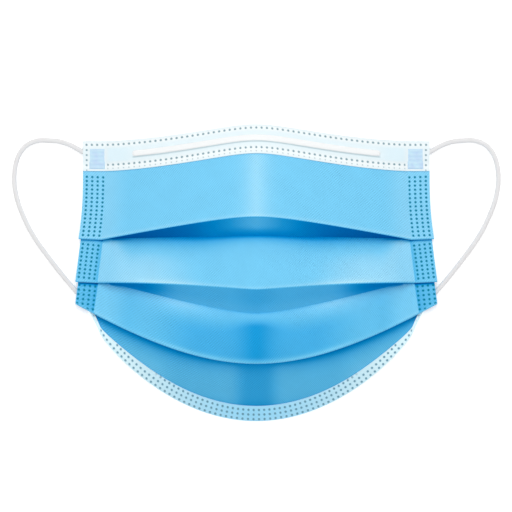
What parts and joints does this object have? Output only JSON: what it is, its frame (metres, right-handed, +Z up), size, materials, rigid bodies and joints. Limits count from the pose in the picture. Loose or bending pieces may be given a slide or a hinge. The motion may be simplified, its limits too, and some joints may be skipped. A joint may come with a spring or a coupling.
{
  "type": "surgical face mask",
  "caption": "Pleated cloth face mask lying hollow side down, with bound nose and chin edges, a stiff nose strip and elastic ear loops that hold it over the nose and mouth.",
  "frame": {"origin": "middle of the mask's footprint on the surface that it lies on, without the ear loops", "axes": "+X to the mask's right edge as seen from its outer face, +Y towards the nose edge, +Z up out of the outer face"},
  "size_m": [0.248, 0.1509, 0.0492],
  "materials": {
    "blue_cloth": "matt nonwoven with fine embossed lines",
    "white_cloth": "matt nonwoven with dotted welds",
    "nose_strip": "smooth white strip under thin cloth",
    "welded_cloth": "pressed and partly melted cloth with fine ribs",
    "ear_elastic": "soft knitted elastic"
  },
  "bodies": {
    "root": {"pleated_body": "blue_cloth", "top_band": "white_cloth", "bottom_band": "white_cloth", "nose_strip": "nose_strip", "weld_patch_left": "welded_cloth", "weld_patch_right": "welded_cloth", "ear_loop_left": "ear_elastic", "ear_loop_right": "ear_elastic"}
  },
  "joints": []
}
